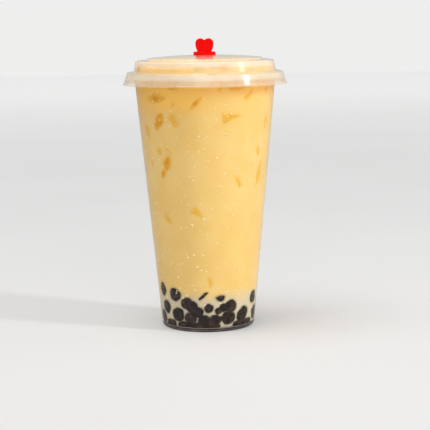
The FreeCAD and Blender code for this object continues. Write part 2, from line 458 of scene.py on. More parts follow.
@dataclass(frozen=True)
class Ice(Finish):
    """Ice in the drink, amber with the drink around and behind it."""

    name: str = "ice_in_smoothie"
    pale: Colour = srgb(244, 212, 130)
    golden: Colour = srgb(236, 188, 68)
    deep: Colour = srgb(226, 154, 4)
    bubbly: Colour = srgb(248, 218, 144)
    grain: float = 2.6 * MM
    bubble: float = 0.5 * MM

    def surface(self, tree: Tree) -> Node:
        """Builds ice with deeper and paler places and small bubbles, its depth read from the mesh.

        Args:
            tree: Tree to build in.

        Returns:
            The shader's node.
        """
        veins = tree.noise(self.grain, 2.0)
        cell = tree.add("ShaderNodeTexVoronoi", {"Vector": tree.place, "Scale": 1 / (4 * self.bubble)})
        bubbles = tree.ramp(cell.outputs["Distance"], 0.3, 0.12)
        depth = tree.math("MULTIPLY", tree.mark("amber"), tree.ramp(veins, 0.35, 0.65, 0.8, 1.15))
        colour = tree.blend(tree.ramp(depth, 0.05, 0.5), self.pale, self.golden)
        colour = tree.blend(tree.ramp(depth, 0.5, 1.0), colour, self.deep)
        colour = tree.blend(tree.math("MULTIPLY", bubbles, 0.25), colour, self.bubbly)
        return tree.add("ShaderNodeBsdfPrincipled", {
            "Base Color": colour, "Roughness": tree.ramp(veins, 0.3, 0.7, 0.3, 0.45),
            "Specular IOR Level": 0.05, "Normal": tree.bump(veins, 0.1 * MM)})


@dataclass(frozen=True)
class FruitPulp(Finish):
    """Bright yellow bits of pineapple."""

    name: str = "pineapple_pulp"
    yellow: Colour = srgb(255, 220, 60)
    orange: Colour = srgb(248, 196, 74)
    patch_grain: float = 6 * MM
    fibre_grain: float = 0.3 * MM

    def surface(self, tree: Tree) -> Node:
        """Builds wet yellow fruit that varies from bit to bit.

        Args:
            tree: Tree to build in.

        Returns:
            The shader's node.
        """
        kind = tree.ramp(tree.noise(self.patch_grain, 0.0), 0.4, 0.6)
        fibre = tree.noise(self.fibre_grain, 2.0)
        return tree.add("ShaderNodeBsdfPrincipled", {
            "Base Color": tree.blend(kind, self.yellow, self.orange),
            "Roughness": tree.ramp(fibre, 0.3, 0.7, 0.35, 0.55), "Normal": tree.bump(fibre, 0.03 * MM)})


@dataclass(frozen=True)
class Water(Finish):
    """Condensed water on the outside of the cup, as pale cream drops with painted light: their colour stands
    in for the drink seen through them and the light they focus onto it.
    """

    name: str = "condensed_water"
    # Painted light: the pale cream of the drops stands in for the drink seen through them and the light they
    # focus onto it.
    colour: Colour = srgb(251, 228, 166)
    paler: Colour = srgb(253, 236, 188)
    light_tint: Colour = (0.95, 0.92, 0.84, 1.0)
    skin_grain: float = 0.8 * MM

    def surface(self, tree: Tree) -> Node:
        """Builds pale drops with painted light in their colour and a barely uneven skin.

        Args:
            tree: Tree to build in.

        Returns:
            The shader's node.
        """
        skin = tree.noise(self.skin_grain, 1.0)
        water = tree.add("ShaderNodeBsdfPrincipled", {
            "Base Color": tree.blend(tree.ramp(skin, 0.3, 0.7), self.colour, self.paler),
            "Roughness": tree.ramp(skin, 0.3, 0.7, 0.06, 0.14), "IOR": 1.4,
            "Normal": tree.bump(skin, 0.02 * MM)})
        return let_light_through(tree, water, self.light_tint)


@dataclass(frozen=True)
class StudioFloor(Finish):
    """Plain pale floor."""

    name: str = "pale_floor"
    colour: Colour = (0.55, 0.547, 0.543, 1.0)
    paler: Colour = (0.57, 0.567, 0.563, 1.0)
    near_lift: float = 0.18
    far_lift: float = 0.5
    far: tuple[float, float] = (0.3, 3.2)
    patch_grain: float = 0.3

    def surface(self, tree: Tree) -> Node:
        """Builds a matt floor with a trace of unevenness.

        Args:
            tree: Tree to build in.

        Returns:
            The shader's node.
        """
        patch = tree.ramp(tree.noise(self.patch_grain, 3.0), 0.3, 0.7)
        floor = tree.add("ShaderNodeBsdfPrincipled", {
            "Base Color": tree.blend(patch, self.colour, self.paler),
            "Roughness": tree.ramp(patch, 0.0, 1.0, 0.7, 0.8), "Specular IOR Level": 0.1})
        away = tree.add("ShaderNodeVectorMath", {0: tree.place}, operation="LENGTH").outputs["Value"]
        level = tree.ramp(away, *self.far, self.near_lift, self.far_lift)
        lift = tree.add("ShaderNodeEmission", {
            "Color": WHITE, "Strength": tree.math("MULTIPLY", seen_directly(tree), level)})
        return tree.add("ShaderNodeAddShader", {0: floor, 1: lift})


@dataclass(frozen=True)
class Vessel:
    """Room inside the cup and under the lid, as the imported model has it."""

    foot_radius: float = 29.33 * MM
    mouth_radius: float = 44.75 * MM
    height: float = 161.3 * MM
    wall: float = 0.8 * MM
    floor: float = 1.9 * MM
    floor_round: float = 2.8 * MM
    rim_start: float = 159.4 * MM
    dome_root_radius: float = 44.235 * MM
    dome_top_radius: float = 42.88 * MM
    dome_top: float = 168.42 * MM
    drink_top: float = 165.5 * MM

    def outer(self, z: np.ndarray | float) -> np.ndarray | float:
        """Radius of the cup's outer wall at a height."""
        return self.foot_radius + (self.mouth_radius - self.foot_radius) * z / self.height

    def inner(self, z: np.ndarray | float) -> np.ndarray:
        """Radius inside the cup's wall, and above its rim inside the lid's dome.

        Args:
            z: Height or heights.

        Returns:
            The inner radius at each height.
        """
        z = np.asarray(z, float)
        slant = math.hypot(self.height, self.mouth_radius - self.foot_radius) / self.height
        in_cup = self.outer(z) - self.wall * slant
        share = np.clip((z - self.height) / (self.dome_top - self.height), 0, 1)
        in_dome = self.dome_root_radius + (self.dome_top_radius - self.dome_root_radius) * share
        rim = np.clip((z - self.rim_start) / (self.height - self.rim_start), 0, 1)
        return in_cup + (in_dome - in_cup) * rim

    def corner(self, z: np.ndarray) -> np.ndarray:
        """How far the round corner at the floor pulls the inside in at each height."""
        drop = np.clip(self.floor + self.floor_round - z, 0, self.floor_round)
        return self.floor_round - np.sqrt(np.maximum(self.floor_round**2 - drop**2, 0))

    def press_in(self, points: np.ndarray, reach: float) -> np.ndarray:
        """Moves points that lie outside the room back to its wall, floor and top.

        Args:
            points: Points as rows.
            reach: How far into the wall the points may go.

        Returns:
            The moved points.
        """
        points = points.copy()
        points[:, 2] = np.clip(points[:, 2], self.floor - reach, self.dome_top - 0.2 * MM)
        radius = np.hypot(points[:, 0], points[:, 1])
        limit = self.inner(points[:, 2]) - self.corner(points[:, 2]) + reach
        scale = np.where(radius > limit, limit / np.maximum(radius, 1e-9), 1.0)
        points[:, :2] *= scale[:, None]
        return points


VESSEL = Vessel()
DRINK_REACH = 0.10 * MM
SUNK_REACH = 0.15 * MM


def outward(azimuth: float) -> Vector:
    """Direction away from the axis at an azimuth in degrees."""
    angle = math.radians(azimuth)
    return Vector((math.sin(angle), -math.cos(angle), 0))


def lathe(radii: np.ndarray, heights: np.ndarray, columns: int) -> tuple[np.ndarray, np.ndarray]:
    """Points and quads of a surface turned about the axis, open at both ends.

    Args:
        radii: Radius of each row.
        heights: Height of each row.
        columns: Number of columns around the axis.

    Returns:
        The points as rows, and the corners of each quad, facing outwards when heights grow.
    """
    angle = np.arange(columns) * 2 * math.pi / columns
    x = radii[:, None] * np.sin(angle)
    y = -radii[:, None] * np.cos(angle)
    z = np.broadcast_to(heights[:, None], x.shape)
    points = np.stack((x, y, z), -1).reshape(-1, 3)
    row, column = np.meshgrid(np.arange(len(radii) - 1), np.arange(columns), indexing="ij")
    start = row * columns + column
    after = row * columns + (column + 1) % columns
    quads = np.stack((start, after, after + columns, start + columns), -1).reshape(-1, 4)
    return points, quads


def mesh_from(name: str, points: np.ndarray, faces: list) -> Mesh:
    """Makes a smooth mesh.

    Args:
        name: Mesh name.
        points: Points as rows.
        faces: Corner numbers of each face.

    Returns:
        The mesh.
    """
    mesh = bpy.data.meshes.new(name)
    mesh.from_pydata(points.tolist(), [], faces)
    mesh.validate()
    mesh.shade_smooth()
    return mesh


def place_piece(name: str, mesh: Mesh, finish: Finish | None = None) -> bpy.types.Object:
    """Puts a mesh in the scene as an object at the origin.

    Args:
        name: Object name.
        mesh: The mesh.
        finish: Its finish, if the mesh has none yet.

    Returns:
        The object.
    """
    piece = bpy.data.objects.new(name, mesh)
    bpy.context.scene.collection.objects.link(piece)
    if finish is not None:
        mesh.materials.clear()
        mesh.materials.append(finish.material())
    return piece


def mesh_points(mesh: Mesh) -> np.ndarray:
    """Points of a mesh as rows."""
    points = np.zeros(len(mesh.vertices) * 3)
    mesh.vertices.foreach_get("co", points)
    return points.reshape(-1, 3)


def move_points(mesh: Mesh, points: np.ndarray) -> None:
    """Moves the points of a mesh.

    Args:
        mesh: The mesh.
        points: New points as rows.
    """
    mesh.vertices.foreach_set("co", points.ravel())
    mesh.update()


def surface_tree(mesh: Mesh) -> BVHTree:
    """Search tree over the faces of a mesh."""
    corners = [tuple(face.vertices) for face in mesh.polygons]
    return BVHTree.FromPolygons([vertex.co for vertex in mesh.vertices], corners)


class Growth:
    """A Geometry Nodes tree with named inputs, and the mesh that it grows from another mesh."""

    def __init__(self, name: str, inputs: dict[str, tuple[str, object]]) -> None:
        """Starts a tree.

        Args:
            name: Tree name.
            inputs: Socket type and value of each named input.
        """
        self.group = bpy.data.node_groups.new(name, "GeometryNodeTree")
        self.tree = Tree(self.group)
        face = self.group.interface
        face.new_socket("Geometry", in_out="INPUT", socket_type="NodeSocketGeometry")
        face.new_socket("Geometry", in_out="OUTPUT", socket_type="NodeSocketGeometry")
        self.values = {}
        for label, (kind, value) in inputs.items():
            socket = face.new_socket(label, in_out="INPUT", socket_type=kind)
            self.values[socket.identifier] = value
        self.given = self.tree.add("NodeGroupInput").outputs

    def finish(self, instances: Node) -> None:
        """Ends the tree: real geometry, smooth, with the material of the input Finish.

        Args:
            instances: The node that gives the instances.
        """
        real = self.tree.add("GeometryNodeRealizeInstances", {0: instances})
        smooth = self.tree.add("GeometryNodeSetShadeSmooth", {0: real})
        dressed = self.tree.add("GeometryNodeSetMaterial", {
            0: smooth, "Material": self.given["Finish"]})
        self.tree.add("NodeGroupOutput", {0: dressed})

    def grow(self, name: str, start: Mesh) -> Mesh:
        """Runs the tree on a mesh.

        Args:
            name: Name of the grown mesh.
            start: The mesh that goes in.

        Returns:
            The grown mesh.
        """
        carrier = bpy.data.objects.new(name + "_start", start)
        bpy.context.scene.collection.objects.link(carrier)
        modifier = carrier.modifiers.new(name, "NODES")
        modifier.node_group = self.group
        for identifier, value in self.values.items():
            modifier[identifier] = value
        graph = bpy.context.evaluated_depsgraph_get()
        mesh = bpy.data.meshes.new_from_object(carrier.evaluated_get(graph), depsgraph=graph)
        mesh.name = name
        carrier.modifiers.remove(modifier)
        bpy.data.objects.remove(carrier)
        return mesh


@dataclass
class PearlSpot:
    """One pearl pressed against the wall.

    The width and height are those of the pearl, and the lean turns its top to the right.
    """

    azimuth: float
    height: float
    across: float = 9.5
    up: float = 9.5
    lean: float = 0.0
    depth: float = 2.2
    thickness: float = 8.6


@dataclass
class Pearls:
    """Tapioca pearls heaped on the floor of the cup."""

    node: str = "tapioca_pearls"
    radius: float = 4.75 * MM
    seed: int = 11
    lump_depth: float = 1.0 * MM
    lump_grain: float = 3.6 * MM
    heap_top: float = 24 * MM
    layers: int = 3
    top_gaps: float = 0.45
    spacing: float = 0.94
    rounds: int = 60
    spots: list[PearlSpot] = field(default_factory=lambda: [PearlSpot(*spot) for spot in (
        (-64, 26, 8, 9.5),
        (-42, 24, 10, 10.5, -20),
        (-25.5, 18.6, 9.5, 9.5),
        (-20.5, 17, 9.5, 9.5, 10),
        (-13.5, 13.2, 9.5, 9),
        (-5, 24, 1.7, 6.6, 50, 0.5, 5),
        (-9.5, 21.6, 1.6, 1.8, 30, 0.4, 3),
        (1, 16, 7, 7.4, 0, 2.6),
        (14, 22.5, 9.5, 8, 20, 3.7),
        (27.5, 16.6, 10, 9.5, 15),
        (19, 16, 7.5, 6.5),
        (12, 14, 6, 5.5),
        (25, 9.5, 11, 10.5),
        (46, 10.5, 10, 12.5, 30),
        (67, 20, 9.5, 9.5),
        (74, 9.5, 9.5, 11),
        (-59, 15, 9, 10),
        (-39, 11, 10.5, 10.5),
        (-70, 8, 9.5, 9.5),
        (-22, 9.5, 10, 9),
        (-4.5, 8.2, 10, 8),
        (8.2, 8.6, 9.6, 7.8, 12),
        (-52, 4.6, 10, 6.5),
        (-31, 4.4, 11, 6),
        (-12, 4.2, 11, 6),
        (5, 4.4, 11.5, 6),
        (40, 4.4, 10, 5.6),
        (56, 4.6, 10, 6.4),
    )])

    def pack_rest(self, fixed: np.ndarray) -> np.ndarray:
        """Centres of the pearls that aren't listed, pushed apart until they fit.

        Args:
            fixed: Centres of the placed pearls.

        Returns:
            Centres as rows.
        """
        dice = np.random.default_rng(self.seed)
        centres = []
        step = 2 * self.radius
        for layer in range(self.layers):
            z = VESSEL.floor + 0.8 * self.radius + layer * 0.8 * step
            ring = float(VESSEL.inner(z)) - self.radius * 0.45
            while ring > self.radius:
                count = int(2 * math.pi * ring / (0.98 * step))
                for i in range(count):
                    angle = 360 * (i + 0.5 * layer) / count + dice.normal(0, 3)
                    if layer == self.layers - 1 and dice.random() < self.top_gaps:
                        continue
                    centres.append(outward(angle) * ring + Vector((0, 0, z + dice.normal(0, 0.9 * MM))))
                ring -= self.spacing * step
        loose = np.array(centres)
        away = np.linalg.norm(loose[:, None] - fixed[None], axis=2).min(1)
        loose = loose[away > 0.8 * step]
        for _ in range(self.rounds):
            everyone = np.vstack((loose, fixed))
            gap = loose[:, None] - everyone[None]
            distance = np.linalg.norm(gap, axis=2)
            distance[distance < 1e-6] = 1
            push = np.clip(self.spacing * step - distance, 0, None) / distance
            push[np.arange(len(loose)), np.arange(len(loose))] = 0
            loose = loose + 0.3 * (gap * push[..., None]).sum(1)
            loose = VESSEL.press_in(loose, -0.45 * self.radius)
            lowest, highest = VESSEL.floor + 0.7 * self.radius, self.heap_top - self.radius * 0.4
            loose[:, 2] = np.clip(loose[:, 2], lowest, highest)
        return loose

    def start_mesh(self) -> Mesh:
        """One point for each pearl, with its size and turn."""
        centres, sizes, turns = [], [], []
        for spot in self.spots:
            z = spot.height * MM
            out = outward(spot.azimuth)
            centres.append(tuple(out * (float(VESSEL.inner(z)) - spot.depth * MM) + Vector((0, 0, z))))
            sizes.append((spot.across / 2 * MM, spot.thickness / 2 * MM, spot.up / 2 * MM))
            turns.append((0.0, math.radians(spot.lean), math.radians(spot.azimuth)))
        dice = np.random.default_rng(self.seed + 1)
        for centre in self.pack_rest(np.array(centres)):
            centres.append(tuple(centre))
            sizes.append(tuple(self.radius * dice.uniform(0.94, 1.06, 3)))
            turns.append(tuple(dice.uniform(0, 2 * math.pi, 3)))
        mesh = bpy.data.meshes.new("pearl_places")
        mesh.from_pydata(centres, [], [])
        for name, rows in (("size", sizes), ("turn", turns)):
            layer = mesh.attributes.new(name, "FLOAT_VECTOR", "POINT")
            layer.data.foreach_set("vector", np.array(rows).ravel())
        tones = mesh.attributes.new("tone", "FLOAT", "POINT")
        tones.data.foreach_set("value", dice.uniform(0, 1, len(centres)))
        return mesh

    def growth(self) -> Growth:
        """Tree that sets a lumpy ball on each point."""
        growth = Growth("pearls_on_points", {
            "Lump Depth": ("NodeSocketFloat", self.lump_depth),
            "Lump Grain": ("NodeSocketFloat", self.lump_grain),
            "Finish": ("NodeSocketMaterial", Tapioca().material()),
        })
        tree, given = growth.tree, growth.given
        ball = tree.add("GeometryNodeMeshIcoSphere", {"Radius": 1.0, "Subdivisions": 4})
        size, turn = [tree.add("GeometryNodeInputNamedAttribute", {"Name": name}, data_type="FLOAT_VECTOR")
                      for name in ("size", "turn")]
        rotation = tree.add("FunctionNodeEulerToRotation", {0: turn})
        balls = tree.add("GeometryNodeInstanceOnPoints", {
            "Points": given["Geometry"], "Instance": ball.outputs["Mesh"],
            "Rotation": rotation, "Scale": size})
        real = tree.add("GeometryNodeRealizeInstances", {0: balls})
        place = tree.add("GeometryNodeInputPosition")
        normal = tree.add("GeometryNodeInputNormal")
        scale = tree.math("DIVIDE", 1.0, given["Lump Grain"])
        noise = tree.add("ShaderNodeTexNoise", {
            "Vector": place, "Scale": scale, "Detail": 2.0})
        lump = tree.math("MULTIPLY", tree.math("SUBTRACT", noise, 0.5),
                         tree.math("MULTIPLY", given["Lump Depth"], 2.0))
        shift = tree.add("ShaderNodeVectorMath", {0: normal, "Scale": lump}, operation="SCALE")
        lumpy = tree.add("GeometryNodeSetPosition", {"Geometry": real, "Offset": shift})
        growth.finish(lumpy)
        return growth

    def build(self) -> bpy.types.Object:
        """Makes the pearls and presses them into the room of the cup."""
        mesh = self.growth().grow("pearls", self.start_mesh())
        move_points(mesh, VESSEL.press_in(mesh_points(mesh), SUNK_REACH))
        piece = place_piece("tapioca_pearl_heap", mesh)
        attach(piece, BODY)
        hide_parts(self.node)
        return piece


class Patch(Enum):
    """Outline of the part of a piece of ice that touches the wall."""

    LEAF = "leaf"
    WEDGE = "wedge"
    BLOCK = "block"

    def half_width(self, along: np.ndarray) -> np.ndarray:
        """Half width, at most about 1, at places from the foot (-1) to the tip (1) of the outline."""
        if self is Patch.LEAF:
            return 1 - along**2
        if self is Patch.WEDGE:
            return np.clip(1 - along**8, 0, 1) ** 0.3 * (1.08 - along) / 2
        return np.sqrt(np.clip(1 - along**6, 0, 1))


@dataclass
class IcePiece:
    """A half-melted piece of ice that touches the wall with a patch of some outline.

    Sizes are in millimetres. The lean turns the patch's tip to the right, in degrees, and the
    bend bows it sideways. Amber is how deep its colour is, 0 to 1. The soft share of the patch,
    on the side at an angle from the right, sinks away from the wall and fades in the drink.
    """

    azimuth: float
    height: float
    length: float
    width: float
    lean: float = 0.0
    amber: float = 0.6
    patch: Patch = Patch.LEAF
    bend: float = 0.0
    soft: float = 0.35
    soft_side: float = 90.0
    sink: float = 0.9
    around: int = 32

    def layers(self) -> list[tuple[float, float, float]]:
        """Share of the outline, growth beyond it and depth of each layer, from front to back."""
        body = min(max(0.7 * self.length, 2.5), 8.0)
        return [(0.35, 0.0, -0.15), (0.7, 0.0, -0.15), (0.93, 0.0, -0.13), (1.0, 0.0, 0.0),
                (1.0, 0.15, 0.35), (1.0, 0.1 * body, 0.2 * body), (1.0, 0.22 * body, 0.5 * body),
                (0.9, 0.15 * body, 0.8 * body), (0.5, 0.1 * body, body)]

    def points(self, dice: np.random.Generator) -> np.ndarray:
        """Points of the piece in the room: the front middle, the layers in turn and the back middle.

        Args:
            dice: Source of the piece's melted unevenness.

        Returns:
            The points as rows.
        """
        angle = np.arange(self.around) * 2 * math.pi / self.around
        along = np.cos(angle)
        phase = dice.uniform(0, 2 * math.pi, 3)
        uneven = 1 + 0.1 * np.sin(2 * angle + phase[0]) + 0.07 * np.sin(3 * angle + phase[1])
        across = np.sign(np.sin(angle)) * self.patch.half_width(along) * uneven
        rows = [(0.0, 0.0, -0.15)]
        for share, growth, depth in self.layers():
            u = across * (self.width / 2 + growth) * share + self.bend * (1 - along**2) * share
            v = along * (self.length / 2 + growth) * share
            rows += list(zip(u, v, np.full(self.around, depth)))
        rows.append((0.0, 0.0, rows[-1][2]))
        flat = np.array(rows)
        side = math.radians(self.soft_side)
        reach = flat[:, 0] * math.cos(side) + flat[:, 1] * math.sin(side)
        limit = math.hypot(self.width * math.cos(side), self.length * math.sin(side)) / 2
        faded = np.clip((reach / limit - 1 + 2 * self.soft) / max(2 * self.soft, 0.01), 0, 1)
        deep = flat[:, 2] + self.sink * faded**1.5
        turn = math.radians(self.lean)
        right = flat[:, 0] * math.cos(turn) + flat[:, 1] * math.sin(turn)
        up = flat[:, 1] * math.cos(turn) - flat[:, 0] * math.sin(turn)
        z = self.height * MM + up * MM
        radius = VESSEL.inner(z) - deep * MM
        bearing = math.radians(self.azimuth) + right * MM / float(VESSEL.inner(self.height * MM))
        return np.stack((radius * np.sin(bearing), -radius * np.cos(bearing), z), -1)

    def ambers(self) -> np.ndarray:
        """Depth of colour at each point, strongest in the middle of the patch."""
        edges = [1 - 0.5 * layer[0] ** 2 for layer in self.layers() for _ in range(self.around)]
        return np.array([1.0] + edges + [0.5]) * self.amber

    def quads(self, first: int) -> list[tuple[int, ...]]:
        """Corners of the piece's faces.

        Args:
            first: Number of its first point.

        Returns:
            The corner numbers of each face.
        """
        count = self.around
        rows = len(self.layers())
        last = first + 1 + rows * count
        faces = []
        for i in range(count):
            j = (i + 1) % count
            faces.append((first, first + 1 + i, first + 1 + j))
            for row in range(rows - 1):
                start = first + 1 + row * count
                faces.append((start + i, start + count + i, start + count + j, start + j))
            start = last - count
            faces.append((last, start + j, start + i))
        return faces


@dataclass
class IceHeap:
    """Ice in the drink: the pieces that touch the front, and loose ones all round and on top."""

    seed: int = 5
    loose: int = 26
    loose_azimuths: tuple[float, float] = (78, 284)
    loose_heights: tuple[float, float] = (42, 164)
    loose_apart: float = 15
    pieces: list[IcePiece] = field(default_factory=lambda: [
        IcePiece(-47, 147.0, 19, 5.6, 86, 0.95, soft=0.55, soft_side=-90),
        IcePiece(-27.5, 144.3, 5, 2.4, 22, 0.4, soft=0.7),
        IcePiece(-8, 144.5, 10, 2.4, 44, 0.95, soft=0.1, soft_side=180),
        IcePiece(-43.5, 133.0, 13, 7.6, 30, 1.0, bend=-0.4, soft=0.12, soft_side=180),
        IcePiece(-26.5, 134.3, 9, 6.5, -28, 0.62, Patch.BLOCK, soft=0.75, soft_side=0),
        IcePiece(23, 135.4, 13, 7.0, 82, 0.66, Patch.WEDGE, bend=-0.8, soft=0.12, soft_side=0),
        IcePiece(64, 131.5, 10, 4.0, 16, 0.55, soft=0.3, soft_side=0),
        IcePiece(-62, 126.3, 10, 4.4, -32, 0.7, soft=0.6, soft_side=180),
        IcePiece(33.5, 122.5, 9, 4.0, -12, 0.22, soft=1.0, sink=1.3),
        IcePiece(-46.5, 115.0, 6, 3.0, -38, 0.6, soft=0.5),
        IcePiece(-35.5, 115.5, 8, 1.1, -48, 0.5, soft=0.3),
        IcePiece(54, 114.0, 7.5, 3.2, -4, 0.55, soft=0.4),
        IcePiece(-37.5, 107.3, 10, 6.4, 18, 1.0, soft=0.3, soft_side=0),
        IcePiece(-43, 100.8, 7, 3.8, 24, 0.9, soft=0.2),
        IcePiece(-58, 106.5, 5, 2.2, 4, 0.5, soft=0.6),
        IcePiece(58, 99.6, 15, 4.6, 13, 0.6, bend=-0.3, soft=0.25, soft_side=0),
        IcePiece(30.5, 96.0, 8.5, 3.8, -36, 0.6, Patch.WEDGE, bend=0.4, soft=0.3, soft_side=0),
        IcePiece(-8.5, 76.0, 9.5, 5.6, 134, 0.58, Patch.WEDGE, bend=-0.5, soft=0.25, soft_side=180),
        IcePiece(-43, 72.3, 9.5, 2.6, -44, 0.6, soft=0.4),
        IcePiece(1.5, 32.2, 7, 2.0, -6, 0.5, bend=1.5, soft=0.0),
        IcePiece(-26, 153.8, 9, 2.6, 88, 0.6, soft=0.4),
        IcePiece(12, 153.2, 4, 2.4, 6, 0.5, soft=0.4),
        IcePiece(27, 153.6, 13, 2.8, 89, 0.7, Patch.BLOCK, soft=0.4),
        IcePiece(38.5, 149.4, 8.5, 4.6, 40, 0.65, Patch.WEDGE, bend=0.8, soft=0.3, soft_side=0),
        IcePiece(60, 151.6, 7, 2.6, -14, 0.5, soft=0.4),
        IcePiece(-70, 165.2, 6, 8, 0, 0.45, Patch.BLOCK, soft=0.3),
        IcePiece(-3.5, 165.8, 4.6, 6.4, 6, 0.45, Patch.BLOCK, soft=0.3),
        IcePiece(12.5, 166.2, 11, 4.4, -84, 0.5, Patch.WEDGE, soft=0.3),
    ])

    def loose_pieces(self, dice: np.random.Generator) -> list[IcePiece]:
        """Pieces that touch the sides and back, spread so that none crowd each other.

        Args:
            dice: Source of the places and sizes.

        Returns:
            The pieces.
        """
        found: list[IcePiece] = []
        while len(found) < self.loose:
            azimuth = dice.uniform(*self.loose_azimuths)
            height = dice.uniform(*self.loose_heights)
            apart = [math.hypot((azimuth - other.azimuth) * 0.7, height - other.height) for other in found]
            if min(apart, default=math.inf) < self.loose_apart:
                continue
            length = dice.uniform(5, 13)
            patch = dice.choice((Patch.LEAF, Patch.LEAF, Patch.WEDGE, Patch.BLOCK))
            found.append(IcePiece(
                azimuth, height, length, length * dice.uniform(0.25, 0.55),
                dice.uniform(-60, 60) + 180 * dice.integers(2), dice.uniform(0.4, 1.0), patch,
                dice.uniform(-0.8, 0.8), dice.uniform(0.2, 0.7), dice.uniform(0, 360)))
        return found

    def build(self) -> bpy.types.Object:
        """Makes all the ice as one piece."""
        dice = np.random.default_rng(self.seed)
        points, faces, ambers = [], [], []
        for piece in self.pieces + self.loose_pieces(dice):
            faces += piece.quads(sum(len(rows) for rows in points))
            points.append(VESSEL.press_in(piece.points(dice), SUNK_REACH))
            ambers.append(piece.ambers())
        mesh = mesh_from("ice", np.vstack(points), faces)
        mesh.attributes.new("amber", "FLOAT", "POINT").data.foreach_set("value", np.concatenate(ambers))
        piece = place_piece("ice_pieces", mesh, Ice())
        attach(piece, BODY)
        return piece


